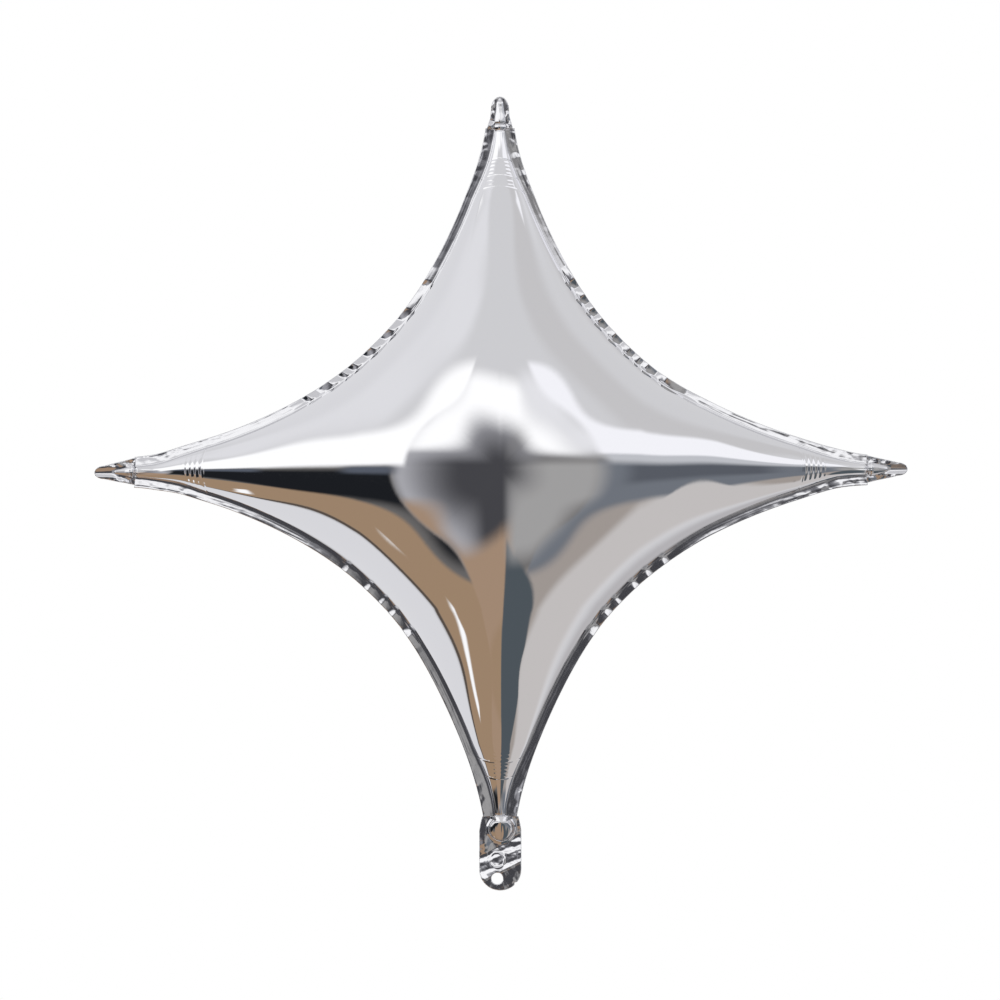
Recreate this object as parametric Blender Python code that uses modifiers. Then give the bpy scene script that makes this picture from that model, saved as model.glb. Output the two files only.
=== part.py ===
"""Star foil balloon: two inflated film halves, a flat crinkled hem, pinched tips, a filling tail.

Metres, +Z up, the front faces -Y. The origin is the centre of the tether hole in the tail.
"""

import math

import bmesh
import bpy
import numpy as np

MM = 0.001
GAP = 0.3 * MM  # room between two pieces that touch

# The star's middle, from the tether hole.
STAR_X = 1.8 * MM
STAR_Z = 267.2 * MM

# Each weld between two arms is a round arc, hollow outwards.
# Its centre lies this far out from the star's middle, sideways and upwards.
WELD_CENTRE_X = 258.4 * MM
WELD_CENTRE_Z = 261.0 * MM
WELD_RADIUS_UPPER = 256.7 * MM
WELD_RADIUS_LOWER = 255.3 * MM

# The inflated chamber ends at a pinch near each point, this far from the middle.
PINCH = {"right": 239.5 * MM, "top": 221.9 * MM, "left": 238.2 * MM, "bottom": 226.5 * MM}
PINCH_SHARE = 0.62  # the arm's thickness at its pinch, as a share of the plain arc's
OUTER_SHARE = {"right": 0.78, "top": 0.85, "left": 0.78, "bottom": 1.0}  # the same, of the hem's outer edge
TAPER_RUN = 48.0 * MM  # the last stretch of an arm, where it narrows to its pinch
# Between the middle and the pinch the gas widens an arm by up to this share.
ARM_SPREAD = {"right": 0.13, "top": 0.09, "left": 0.08, "bottom": 0.145}
SPREAD_FROM = 90.0 * MM
SPREAD_SKEW = 1.6  # above 1, the widest place lies nearer to the pinch
# The level arms aren't quite straight: distance from the star's middle, and how far the arm lies above it.
SWAY = [(-265.0, -2.3), (-228.0, -1.4), (-205.0, 0.0), (100.0, 0.0), (140.0, 1.2), (215.0, 1.2), (242.0, 0.0)]

# The inflated form: see half_depth.
WELD_PULL = 2.8  # how soon the film leaves the nearest weld's influence
FULLNESS = 0.28  # how far gas pressure fills the roots of the arms
FULL_AT = 107.0 * MM  # where it fills them most
FULL_IN_ARMS = 0.16  # how much more it fills towards the arms than between them

WALL = 2.0 * MM  # stand-in for the thin film
SKIRT = 0.3 * MM  # upright edge of a half, beside the weld
HEM = 5.5 * MM  # width of the flat margin outside the weld
HEM_THICK = 0.5 * MM
CRINKLE_PITCH = 11.4 * MM  # from one crest of the hem's crinkle to the next
CRINKLE = 0.9 * MM  # how far a crest stands from the middle plane
CRINKLE_REACH = 70.0 * MM  # the crests fade at about this distance from a hem's middle
CRINKLE_LEAST = 0.25  # what is left of them at its ends
WELD_SAMPLES = 200  # points that measure one arm's stretch of a weld

ARM_STEPS = 18  # faces along an arm's half
ACROSS_STEPS = 6  # faces from an arm's ridge to the weld
RIDGE_SPREAD = 0.35  # rows on the ridge are this much further apart near the middle
TURNED_STEPS = 18

# Each tip: a small inflated cone beyond the pinch, in a slot of the flat tab around it.
# Cone profile: radius and distance beyond the pinch. Tab outline: distance and half width.
SIDE_CONE = [(0.0, 13.4), (1.3, 12.6), (2.6, 9.0), (3.7, 4.2), (3.5, 2.2), (1.7, 0.6), (1.5, 0.0)]
SIDE_TAB = [(0.0, 9.0), (6.0, 7.4), (12.0, 6.2), (20.0, 4.3)]
SIDE_TAB_LENGTH = 26.3
TOP_CONE = [(0.0, 18.6), (1.3, 17.6), (2.4, 13.0), (3.8, 4.6), (3.5, 2.2), (1.7, 0.6), (1.5, 0.0)]
TOP_TAB = [(0.0, 8.6), (4.0, 7.4), (8.0, 6.2), (12.5, 5.9)]
TOP_TAB_LENGTH = 20.9
TAB_THICK = 0.6 * MM
NOSE_STEPS = 6  # edges of a tab's round end, on one side

# The tail, in millimetres from the tether hole.
TAIL_X = 2.0
TAIL_HALF_WIDTH = 13.7
TAIL_TOP_HALF_WIDTH = 11.8
TAIL_TOP_Z = 40.4
TAIL_SHOULDER = (12.9, 36.0)  # half width and height where its sides bend inwards
TAIL_SHOULDER_Z = 31.5
TAIL_ROUND_Z = 5.9
TAIL_FILM = 0.5
HOLE_RADIUS = 3.8
# The neck bulb: radius and height, from its top at the pinch down to its point.
NECK_BULB = [
    (0.0, 40.4),
    (2.6, 40.4),
    (4.4, 39.5),
    (4.2, 38.0),
    (6.6, 35.8),
    (7.6, 33.2),
    (7.1, 30.4),
    (5.0, 27.4),
    (2.2, 25.2),
    (0.0, 24.7),
]
NECK_DEPTH_SHARE = 0.78  # the bulb is this much flatter from front to back

ARMS = {"right": (1, 0), "top": (0, 1), "left": (-1, 0), "bottom": (0, -1)}


def new_material(name, colour, roughness, metallic=1.0):
    material = bpy.data.materials.new(name)
    material.use_nodes = True
    shader = material.node_tree.nodes["Principled BSDF"]
    shader.inputs["Base Color"].default_value = (*colour, 1.0)
    shader.inputs["Roughness"].default_value = roughness
    shader.inputs["Metallic"].default_value = metallic
    material.diffuse_color = (*colour, 1.0)
    return material


def clear_scene():
    for old in list(bpy.data.objects):
        bpy.data.objects.remove(old, do_unlink=True)


def add_object(name, data, collection, material, smooth=True):
    data.materials.append(material)
    part = bpy.data.objects.new(name, data)
    collection.objects.link(part)
    if smooth and isinstance(data, bpy.types.Mesh):
        data.shade_smooth()
    return part


def weld_radius(upwards):
    return WELD_RADIUS_UPPER if upwards > 0 else WELD_RADIUS_LOWER


def half_depth(x, z):
    """Half the star's depth over a point of its plan, measured from the star's middle.

    Each weld pulls the film to the middle plane with a strength that falls with the distance.
    Opposite welds add up, neighbours multiply, so an arm is a round tube between its two welds
    and the middle is a dome. The last factor is the swelling of the arms' roots.
    """
    pulls = {}
    for side in (-1, 1):
        for up in (-1, 1):
            centre_x, centre_z = side * WELD_CENTRE_X, up * WELD_CENTRE_Z
            away = np.hypot(x - centre_x, z - centre_z) - weld_radius(up)
            pulls[side, up] = np.maximum(away, 0.05 * MM) ** -WELD_PULL
    rising = pulls[1, 1] + pulls[-1, -1]
    falling = pulls[-1, 1] + pulls[1, -1]
    lean = (rising * falling) ** (-0.5 / WELD_PULL)
    reach = np.hypot(x, z) / FULL_AT
    towards_arms = np.cos(4 * np.arctan2(z, x))
    swell = FULLNESS * (1 + FULL_IN_ARMS * towards_arms) * reach**2 * np.exp((1 - reach**4) / 2)
    return lean * (1 + swell)


def eased(share):
    """A soft step from 0 to 1."""
    share = np.clip(share, 0, 1)
    return share**2 * (3 - 2 * share)


def spread(along, arm):
    """How much wider than the plain arcs the gas makes an arm."""
    reach = np.clip((along - SPREAD_FROM) / (PINCH[arm] - SPREAD_FROM), 0, 1)
    return 1 + ARM_SPREAD[arm] * np.sin(math.pi * reach**SPREAD_SKEW)


def taper(along, arm, share=PINCH_SHARE):
    """An arm's size against the plain arcs, down to the given share at its pinch."""
    near = eased((along - PINCH[arm]) / TAPER_RUN + 1)
    return spread(along, arm) * (1 - (1 - share) * near)


def sway(x):
    """How far a level arm lies above the star's middle, at x from that middle."""
    places, heights = np.array(SWAY).T * MM
    x = np.clip(x, places[0], places[-1])
    k = np.clip(np.searchsorted(places, x, side="right") - 1, 0, len(places) - 2)
    share = (x - places[k]) / (places[k + 1] - places[k])
    return heights[k] + (heights[k + 1] - heights[k]) * eased(share)


def weld_corner(up):
    """The weld's point nearest to the star's middle, and its distances along x and z."""
    share = 1 - weld_radius(up) / math.hypot(WELD_CENTRE_X, WELD_CENTRE_Z)
    return WELD_CENTRE_X * share, WELD_CENTRE_Z * share


def arm_half_width(along, arm, up):
    """Distance from an arm's ridge to the plain weld arc."""
    if ARMS[arm][1] == 0:
        ahead, aside = WELD_CENTRE_X, WELD_CENTRE_Z
    else:
        ahead, aside = WELD_CENTRE_Z, WELD_CENTRE_X
    return aside - np.sqrt(weld_radius(up) ** 2 - (along - ahead) ** 2)


def quadrant_up(arm, lateral):
    """Whether the half of an arm on its left (+1) or right (-1) borders an upper or lower weld."""
    ahead_x, ahead_z = ARMS[arm]
    return ahead_z if ahead_x == 0 else ahead_x * lateral


def arm_grid(arm, lateral):
    """Points of one half of an arm: distance along it, distance aside and depth."""
    up = quadrant_up(arm, lateral)
    corner_x, corner_z = weld_corner(up)
    start = corner_x if ARMS[arm][1] == 0 else corner_z
    step = np.linspace(0, 1, ARM_STEPS + 1)[:, None]
    edge_along = start + (PINCH[arm] - start) * step
    edge_aside = arm_half_width(edge_along, arm, up)
    ridge_along = PINCH[arm] * step * (1 + RIDGE_SPREAD * (1 - step))
    across = np.sin(math.pi / 2 * np.linspace(0, 1, ACROSS_STEPS + 1))[None, :]
    along = ridge_along * (1 - across) + edge_along * across
    aside = edge_aside * across
    ahead_x, ahead_z = ARMS[arm]
    x = ahead_x * along - ahead_z * aside * lateral
    z = ahead_z * along + ahead_x * aside * lateral
    depth = half_depth(x, z)
    depth[:, -1] = 0
    narrow = taper(along, arm)
    return along, aside * narrow, depth * narrow


def envelope_half(name, facing, collection, material):
    """One inflated film half: an open domed surface, thickened inwards. facing is -1 in front."""
    shape = bmesh.new()
    for arm, (ahead_x, ahead_z) in ARMS.items():
        for lateral in (-1, 1):
            along, aside, depth = arm_grid(arm, lateral)
            rows = []
            for i in range(ARM_STEPS + 1):
                row = []
                for j in range(ACROSS_STEPS + 2):
                    k = min(j, ACROSS_STEPS)
                    x = ahead_x * along[i, k] - ahead_z * aside[i, k] * lateral
                    z = ahead_z * along[i, k] + ahead_x * aside[i, k] * lateral
                    lift = SKIRT if j <= ACROSS_STEPS else 0
                    y = facing * (GAP / 2 + lift + depth[i, k])
                    row.append(shape.verts.new((STAR_X + x, y, STAR_Z + z + sway(x))))
                rows.append(row)
            for i in range(ARM_STEPS):
                for j in range(ACROSS_STEPS + 1):
                    corners = [rows[i][j], rows[i + 1][j], rows[i + 1][j + 1], rows[i][j + 1]]
                    if lateral * facing > 0:
                        corners.reverse()
                    shape.faces.new(corners)
    bmesh.ops.remove_doubles(shape, verts=shape.verts, dist=0.01 * MM)
    mesh = bpy.data.meshes.new(name)
    shape.to_mesh(mesh)
    shape.free()
    half = add_object(name, mesh, collection, material)
    shell = half.modifiers.new("film", "SOLIDIFY")
    shell.thickness = WALL
    shell.offset = -1
    return half


def arm_edge(along, arm, up):
    """Distance from an arm's ridge to its weld, and the hem's width there."""
    plain = arm_half_width(along, arm, up)
    aside = plain * taper(along, arm)
    outer = plain * taper(along, arm, OUTER_SHARE[arm])
    return aside, HEM + outer - aside


def weld_line(side, up):
    """The weld of one quadrant, from the upright arm's pinch to the level arm's: x, z and the hem's width."""
    upright = "top" if up > 0 else "bottom"
    level = "right" if side > 0 else "left"
    corner_x, corner_z = weld_corner(up)
    along = np.linspace(PINCH[upright], corner_z, WELD_SAMPLES)
    aside, wide = arm_edge(along, upright, up)
    first = np.stack([side * aside, up * along, wide], 1)
    along = np.linspace(corner_x, PINCH[level], WELD_SAMPLES)[1:]
    aside, wide = arm_edge(along, level, up)
    second = np.stack([side * along, up * aside, wide], 1)
    return np.concatenate([first, second])


def spaced(line, pitch):
    """The line again, with points about one pitch apart."""
    run = np.concatenate([[0], np.cumsum(np.hypot(*np.diff(line[:, :2], axis=0).T))])
    places = np.linspace(0, run[-1], round(run[-1] / pitch) + 1)
    return np.stack([np.interp(places, run, column) for column in line.T], 1)


def hem(name, side, up, collection, material):
    """The flat margin outside one weld, folded into small crests by the pull of the film."""
    *line, wide = spaced(weld_line(side, up), CRINKLE_PITCH / 2).T
    line = np.stack(line, 1)
    line[:, 1] += sway(line[:, 0])
    ahead = np.gradient(line, axis=0)
    ahead /= np.hypot(*ahead.T)[:, None]
    outwards = np.stack([-ahead[:, 1], ahead[:, 0]], 1)
    towards_corner = (outwards @ np.array([side, up])) < 0
    outwards[towards_corner] *= -1
    outwards[0], outwards[-1] = (side, 0), (0, up)  # both ends are cut square to the arms
    away = (np.arange(len(line)) - len(line) / 2) * CRINKLE_PITCH / 2
    strength = CRINKLE_LEAST + (1 - CRINKLE_LEAST) * np.exp(-((away / CRINKLE_REACH) ** 2))
    shape = bmesh.new()
    rows = []
    for i, (place, out) in enumerate(zip(line, outwards, strict=True)):
        crest = CRINKLE * strength[i] * (1 if i % 2 else -1)
        inner, outer = place + out * GAP, place + out * wide[i]
        rows.append(
            [
                shape.verts.new((STAR_X + inner[0], 0, STAR_Z + inner[1])),
                shape.verts.new((STAR_X + outer[0], crest, STAR_Z + outer[1])),
            ]
        )
    for near, far in zip(rows, rows[1:], strict=False):
        shape.faces.new([near[0], near[1], far[1], far[0]])
    mesh = bpy.data.meshes.new(name)
    shape.to_mesh(mesh)
    shape.free()
    strip = add_object(name, mesh, collection, material, smooth=False)
    sheet = strip.modifiers.new("welded films", "SOLIDIFY")
    sheet.thickness = HEM_THICK
    sheet.offset = 0
    return strip


def turned(name, profile, collection, material):
    """A solid turned about Z from radius and height pairs in millimetres, listed downwards."""
    mesh = bpy.data.meshes.new(name)
    points = [(radius * MM, 0, height * MM) for radius, height in profile]
    mesh.from_pydata(points, [(i, i + 1) for i in range(len(points) - 1)], [])
    part = add_object(name, mesh, collection, material)
    screw = part.modifiers.new("turn", "SCREW")
    screw.steps = TURNED_STEPS
    screw.render_steps = TURNED_STEPS
    screw.use_merge_vertices = True
    screw.merge_threshold = 0.00001
    screw.use_smooth_shade = True
    return part


def flat_piece(name, outlines, thick, collection, material):
    """A flat film piece in the XZ plane, from closed outlines of (x, z) points in metres."""
    data = bpy.data.curves.new(name, "CURVE")
    data.dimensions = "2D"
    data.fill_mode = "BOTH"
    data.extrude = thick / 2
    for outline in outlines:
        spline = data.splines.new("POLY")
        spline.points.add(len(outline) - 1)
        for point, (x, z) in zip(spline.points, outline, strict=True):
            point.co = (x, z, 0, 1)
        spline.use_cyclic_u = True
    part = add_object(name, data, collection, material)
    part.rotation_euler = (math.pi / 2, 0, 0)
    return part


def arc(centre_x, centre_z, radius, start, end, steps):
    """Points along a round arc, the angles in degrees."""
    turn = [math.radians(start + (end - start) * i / steps) for i in range(steps + 1)]
    return [(centre_x + radius * math.cos(a), centre_z + radius * math.sin(a)) for a in turn]


def mirrored(side):
    """The other side of an outline, listed backwards."""
    return [(along, -aside) for along, aside in reversed(side)]


def tip(arm, cone, tab, length, collection, films):
    """The cone and the tab beyond one arm's pinch."""
    ahead_x, ahead_z = ARMS[arm]
    start = PINCH[arm] + GAP
    small = turned(f"tip_cone_{arm}", [*cone, (0.0, 0.0)], collection, films["cone"])
    near, far = sway(ahead_x * np.array([start, start + cone[0][1] * MM]))
    small.location = (STAR_X + ahead_x * start, 0, STAR_Z + ahead_z * start + near)
    small.rotation_euler = (0, ahead_x * (math.pi / 2 - (far - near) / (cone[0][1] * MM)), 0)

    room = GAP / MM
    slot = [(height, radius + room) for radius, height in cone]
    slot[0] = (slot[0][0] + room, 0.0)
    slot[-1] = (0.0, slot[-2][1])
    last_along, last_half = tab[-1]
    turns = [math.pi / 2 * i / NOSE_STEPS for i in range(1, NOSE_STEPS)]
    nose = [(last_along + (length - last_along) * math.sin(a), last_half * math.cos(a)) for a in turns]
    side = [*tab, *nose]
    ring = [*side, (length, 0.0), *mirrored(side), *mirrored(slot[1:]), slot[0], *slot[1:]]
    outline = []
    for along, aside in ring:
        x = ahead_x * (start + along * MM) - ahead_z * aside * MM
        z = ahead_z * (start + along * MM) + ahead_x * aside * MM
        outline.append((STAR_X + x, STAR_Z + z + sway(x)))
    flat_piece(f"tip_tab_{arm}", [outline], TAB_THICK, collection, films["tab"])


def tail(collection, films):
    """The neck bulb, and the tail's two flat films with the tether hole through both."""
    bulb = turned("neck_bulb", NECK_BULB, collection, films["cone"])
    bulb.location = (TAIL_X * MM, 0, 0)
    bulb.scale = (1, NECK_DEPTH_SHARE, 1)

    room = GAP / MM
    slot = [(radius + room, height) for radius, height in NECK_BULB[1:-1]]
    slot[0] = (slot[1][0], TAIL_TOP_Z)
    point = (0.0, NECK_BULB[-1][1] - room)
    right = [(TAIL_TOP_HALF_WIDTH, TAIL_TOP_Z), TAIL_SHOULDER, (TAIL_HALF_WIDTH, TAIL_SHOULDER_Z)]
    end = arc(0, TAIL_ROUND_Z, TAIL_HALF_WIDTH, 0, -180, 20)
    left = [(-x, z) for x, z in reversed(right)]
    into_slot = [(-x, z) for x, z in slot]
    out_of_slot = list(reversed(slot))
    ring = [*right, *end, *left, *into_slot, point, *out_of_slot]
    outline = [((TAIL_X + x) * MM, z * MM) for x, z in ring]
    hole = [(x * MM, z * MM) for x, z in arc(0, 0, HOLE_RADIUS, 0, 345, 23)]
    for name, facing in (("tail_front", -1), ("tail_back", 1)):
        film = flat_piece(name, [outline, hole], TAIL_FILM * MM, collection, films["tail"])
        film.location = (0, facing * (GAP + TAIL_FILM * MM) / 2, 0)


def build():
    clear_scene()
    collection = bpy.data.collections.new("star_foil_balloon")
    bpy.context.scene.collection.children.link(collection)
    films = {
        "envelope": new_material("mirror_film", (0.86, 0.87, 0.88), 0.05),
        "hem": new_material("hem_film", (0.78, 0.79, 0.80), 0.16),
        "cone": new_material("tip_film", (0.82, 0.83, 0.84), 0.10),
        "tab": new_material("tab_film", (0.76, 0.77, 0.78), 0.16),
        "tail": new_material("tail_film", (0.80, 0.81, 0.82), 0.14),
    }
    envelope_half("envelope_front", -1, collection, films["envelope"])
    envelope_half("envelope_back", 1, collection, films["envelope"])
    for up, row in ((1, "upper"), (-1, "lower")):
        for side, column in ((-1, "left"), (1, "right")):
            hem(f"hem_{row}_{column}", side, up, collection, films["hem"])
    tip("left", SIDE_CONE, SIDE_TAB, SIDE_TAB_LENGTH, collection, films)
    tip("right", SIDE_CONE, SIDE_TAB, SIDE_TAB_LENGTH, collection, films)
    tip("top", TOP_CONE, TOP_TAB, TOP_TAB_LENGTH, collection, films)
    tail(collection, films)


build()
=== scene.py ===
# Star foil balloon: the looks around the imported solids.
# Metres, +Z up, the front faces -Y. The origin is the centre of the tether hole in the tail.

import math

import bmesh
import bpy
import numpy as np
from mathutils import Matrix, Vector
from mathutils.geometry import delaunay_2d_cdt


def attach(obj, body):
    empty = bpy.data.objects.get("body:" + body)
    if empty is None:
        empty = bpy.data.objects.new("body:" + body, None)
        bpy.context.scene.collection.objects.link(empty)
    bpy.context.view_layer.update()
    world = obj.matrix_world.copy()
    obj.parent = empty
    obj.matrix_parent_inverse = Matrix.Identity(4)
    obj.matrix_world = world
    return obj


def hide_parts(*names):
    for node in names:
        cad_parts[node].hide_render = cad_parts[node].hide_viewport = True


mm = 0.001
mathNode = "ShaderNodeMath"
vectorNode = "ShaderNodeVectorMath"
mapNode = "ShaderNodeMapRange"
noiseNode = "ShaderNodeTexNoise"

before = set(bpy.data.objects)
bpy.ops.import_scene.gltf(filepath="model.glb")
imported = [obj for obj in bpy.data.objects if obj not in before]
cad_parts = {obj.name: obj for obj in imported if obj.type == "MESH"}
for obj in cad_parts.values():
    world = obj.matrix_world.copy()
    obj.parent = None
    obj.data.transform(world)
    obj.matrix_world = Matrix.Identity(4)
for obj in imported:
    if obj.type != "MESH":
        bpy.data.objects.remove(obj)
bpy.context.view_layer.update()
print("frame loaded:", len(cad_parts), "solids")


def addNode(tree, kind, *values, inputs=None, **settings):
    # a node with its settings; values fill its inputs in order, inputs={...} fills them by name
    node = tree.nodes.new(kind)
    for setting, value in settings.items():
        setattr(node, setting, value)
    for place, value in [*enumerate(values), *(inputs or {}).items()]:
        if value is None:
            continue
        if isinstance(value, bpy.types.Node):
            value = value.outputs[0]
        if isinstance(value, bpy.types.NodeSocket):
            tree.links.new(value, node.inputs[place])
        else:
            node.inputs[place].default_value = value
    return node


def linear(code, strength=1.0):
    # sRGB hex to linear RGBA
    shares = [int(code[i : i + 2], 16) / 255 for i in (1, 3, 5)]
    flat = [s / 12.92 if s <= 0.04045 else ((s + 0.055) / 1.055) ** 2.4 for s in shares]
    return (*[f * strength for f in flat], 1.0)


# Camera
photo = {
    "metresAcross": 1000 * 0.6527 * mm,  # 1000 pixels at the balloon's middle plane
    "distance": 2.5,
    "middleX": 1.8 * mm,
    "middleZ": 247.0 * mm,
}
cameraData = bpy.data.cameras.new("camera")
cameraData.sensor_width = 36.0
cameraData.lens = cameraData.sensor_width * photo["distance"] / photo["metresAcross"]
camera = bpy.data.objects.new("camera", cameraData)
camera.location = (photo["middleX"], -photo["distance"], photo["middleZ"])
camera.rotation_euler = (math.pi / 2, 0, 0)
bpy.context.scene.collection.objects.link(camera)
bpy.context.scene.camera = camera
bpy.context.scene.view_settings.view_transform = "Standard"
print("camera placed")

# Studio
# Soft panels around the balloon, by the direction that they are seen in from it, in degrees.
# Azimuth 0 is the camera's side and grows to the right, elevation grows upwards.
studio = {
    "elsewhere": "#D9D9DB",
    "panels": [
        # azimuth from, to, elevation from, to, soft edge sideways, upwards,
        # rise for each degree to the right, colour, strength; a later panel covers an earlier one
        ("paleLeft", -200, -104, -90, 50, 3, 12, 0.2, "#E3E3E6", 1.0),
        ("highLeft", -124, -52, 38, 66, 12, 10, 0.0, "#EAEAED", 1.0),
        ("highRight", 60, 112, 36, 66, 12, 8, 0.0, "#CFCECF", 1.0),
        ("slimRight", 114, 130, -43, 29, 6, 12, -0.4, "#E6E6E9", 1.0),
        ("paleRight", 140, 200, -60, 17, 10, 10, 0.0, "#BDBBBD", 1.0),
        ("frontLow", -104, 75, -100, 13, 4, 7, 0.0, "#6E6C6B", 1.0),
        ("rightUnder", 56, 128, -80, -18, 10, 5, 0.1, "#CDC9C7", 1.0),
        ("rightBeige", 22, 66, -70, -30, 8, 3, 0.1, "#A8A09A", 1.0),
        ("slateBand", 29, 74, -32, 10, 1.5, 4, 0.05, "#757A82", 1.0),
        ("slateNear", 46, 98, -12, 9, 8, 5, 0.1, "#5D6169", 1.0),
        ("rightGlow", 34, 98, 8, 22, 4, 5, 0.0, "#C9CBD0", 1.0),
        ("paleMiddle", -33, 10, -32, 19, 4, 6, 0.0, "#B4B4B9", 1.0),
        ("darkMiddle", -22, 14, -26, 13, 11, 9, 0.0, "#48484C", 1.0),
        ("whiteLeft", -98, -28, 4.5, 36, 1.5, 4, 0.0, "#FFFFFF", 1.15),
        ("whiteFront", -30, 22, 16, 29, 8, 4, -0.1, "#FFFFFF", 1.15),
        ("whiteMiddle", 20, 38, 18, 31, 7, 5, 0.1, "#F0F0F3", 1.0),
        ("whiteRight", 31, 98, 18, 38, 3, 2, 0.06, "#F9F9FD", 1.08),
        ("darkLeft", -92, -35, -31, 0, 1.5, 4, 0.0, "#1E2024", 1.0),
        ("blueLeft", -60, -33, -4, 4, 5, 3, 0.0, "#5A606C", 1.0),
        ("oakLow", -100, 4, -100, -35, 1.5, 2, -0.2, "#A58B71", 1.0),
        ("oakNear", -34, 14, -60, -20, 2, 4, 0.25, "#AB917A", 1.0),
        ("slateLow", 6, 68, -90, -38, 1.5, 2, -0.6, "#525A60", 1.0),
        ("paleSide", 8, 32, -26, 8, 7, 6, 0.0, "#A9A8A7", 1.0),
        ("darkLine", -104, -100, -60, -22, 1, 5, 0.0, "#5A5048", 1.0),
        ("whiteLow", -92, -76, -53, -48, 1.5, 1.5, 0.3, "#FFFFFF", 1.1),
        ("behindRight", 163, 197, -30, 8, 6, 6, 0.0, "#4A4A4C", 1.0),
        ("behindLeft", -197, -163, -30, 8, 6, 6, 0.0, "#4A4A4C", 1.0),
    ],
    "floorDrop": 1.2,
    "floorRadius": 8.0,
    "floorColour": "#F4F4F4",
}


def addStudio():
    world = bpy.data.worlds.new("studio")
    bpy.context.scene.world = world
    world.use_nodes = True
    tree = world.node_tree
    tree.nodes.clear()
    place = addNode(tree, "ShaderNodeTexCoord")
    ray = addNode(tree, "ShaderNodeSeparateXYZ", place.outputs["Generated"])
    towards = addNode(tree, mathNode, ray.outputs["Y"], -1.0, operation="MULTIPLY")
    azimuth = addNode(tree, mathNode, ray.outputs["X"], towards, operation="ARCTAN2")
    azimuth = addNode(tree, mathNode, azimuth, operation="DEGREES")
    elevation = addNode(tree, mathNode, ray.outputs["Z"], operation="ARCSINE")
    elevation = addNode(tree, mathNode, elevation, operation="DEGREES")
    light = addNode(tree, "ShaderNodeRGB")
    light.outputs[0].default_value = linear(studio["elsewhere"])
    for _name, left, right, low, high, softAside, softUp, lean, colour, strength in studio["panels"]:
        aside = addNode(tree, mathNode, azimuth, (left + right) / 2, operation="SUBTRACT")
        raised = addNode(tree, mathNode, aside, -lean, elevation, operation="MULTIPLY_ADD")
        above = addNode(tree, mathNode, raised, (low + high) / 2, operation="SUBTRACT")
        shares = []
        for off, half, soft in ((aside, (right - left) / 2, softAside), (above, (high - low) / 2, softUp)):
            off = addNode(tree, mathNode, off, operation="ABSOLUTE")
            shares.append(addNode(tree, mapNode, off, half - soft, half + soft, 1.0, 0.0,
                                  interpolation_type="SMOOTHSTEP"))
        share = addNode(tree, mathNode, *shares, operation="MULTIPLY")
        light = addNode(tree, "ShaderNodeMixRGB", share, light, linear(colour, strength))
    seen = addNode(tree, "ShaderNodeLightPath")
    mirrored = addNode(tree, "ShaderNodeBackground", light, 1.0)
    plain = addNode(tree, "ShaderNodeBackground", linear("#FFFFFF"), 1.0)
    mixed = addNode(tree, "ShaderNodeMixShader", seen.outputs["Is Glossy Ray"], plain, mirrored)
    addNode(tree, "ShaderNodeOutputWorld", mixed)


def addFloor():
    disc = bmesh.new()
    bmesh.ops.create_circle(disc, cap_ends=True, segments=96, radius=studio["floorRadius"])
    mesh = bpy.data.meshes.new("floor")
    disc.to_mesh(mesh)
    disc.free()
    mesh.transform(Matrix.Translation((0, 0, -studio["floorDrop"])))
    floor = bpy.data.objects.new("floor", mesh)
    bpy.context.scene.collection.objects.link(floor)
    floor.visible_glossy = False
    paint = bpy.data.materials.new("matt studio floor paint")
    paint.use_nodes = True
    shader = paint.node_tree.nodes["Principled BSDF"]
    shader.inputs["Base Color"].default_value = linear(studio["floorColour"])
    shader.inputs["Roughness"].default_value = 0.9
    mesh.materials.append(paint)


addStudio()
addFloor()
print("studio lit")


# Materials
def metalFilm(name, colour, roughness, spread, ripple, rippleSize):
    # vapour-deposited aluminium on a clear film: a metal mirror,
    # hazier where welding or folding has worked it
    material = bpy.data.materials.new(name)
    material.use_nodes = True
    tree = material.node_tree
    shader = tree.nodes["Principled BSDF"]
    shader.inputs["Base Color"].default_value = linear(colour)
    shader.inputs["Metallic"].default_value = 1.0
    place = addNode(tree, "ShaderNodeTexCoord").outputs["Object"]
    cloud = addNode(tree, noiseNode, inputs={"Vector": place, "Scale": 1 / (22 * mm), "Detail": 4.0})
    haze = addNode(tree, mapNode, cloud, 0.35, 0.7, roughness, roughness + spread)
    tree.links.new(haze.outputs[0], shader.inputs["Roughness"])
    peel = addNode(tree, noiseNode, inputs={"Vector": place, "Scale": 1 / rippleSize, "Detail": 2.0})
    bump = addNode(tree, "ShaderNodeBump",
                   inputs={"Height": peel.outputs[0], "Distance": ripple, "Strength": 1.0})
    tree.links.new(bump.outputs[0], shader.inputs["Normal"])
    return material


# nylon drawn tight by the gas: a near perfect mirror with a trace of orange peel
mirrorFilm = metalFilm("metallised nylon film, stretched", "#F0F0F2", 0.015, 0.03, 0.004 * mm, 3.0 * mm)
# two films heat-welded flat: hazier, with the fine ripple of the sealing jaw
hemFilm = metalFilm("metallised nylon film, heat-welded", "#E6E6E9", 0.06, 0.08, 0.012 * mm, 1.2 * mm)
# film gathered into pleats at the pinches
pleatFilm = metalFilm("metallised nylon film, pleated", "#ECECEE", 0.03, 0.05, 0.008 * mm, 1.6 * mm)
# slack film of the filling tail, handled and wrinkled
slackFilm = metalFilm("metallised nylon film, slack", "#E9E9EC", 0.05, 0.06, 0.010 * mm, 1.0 * mm)

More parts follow.
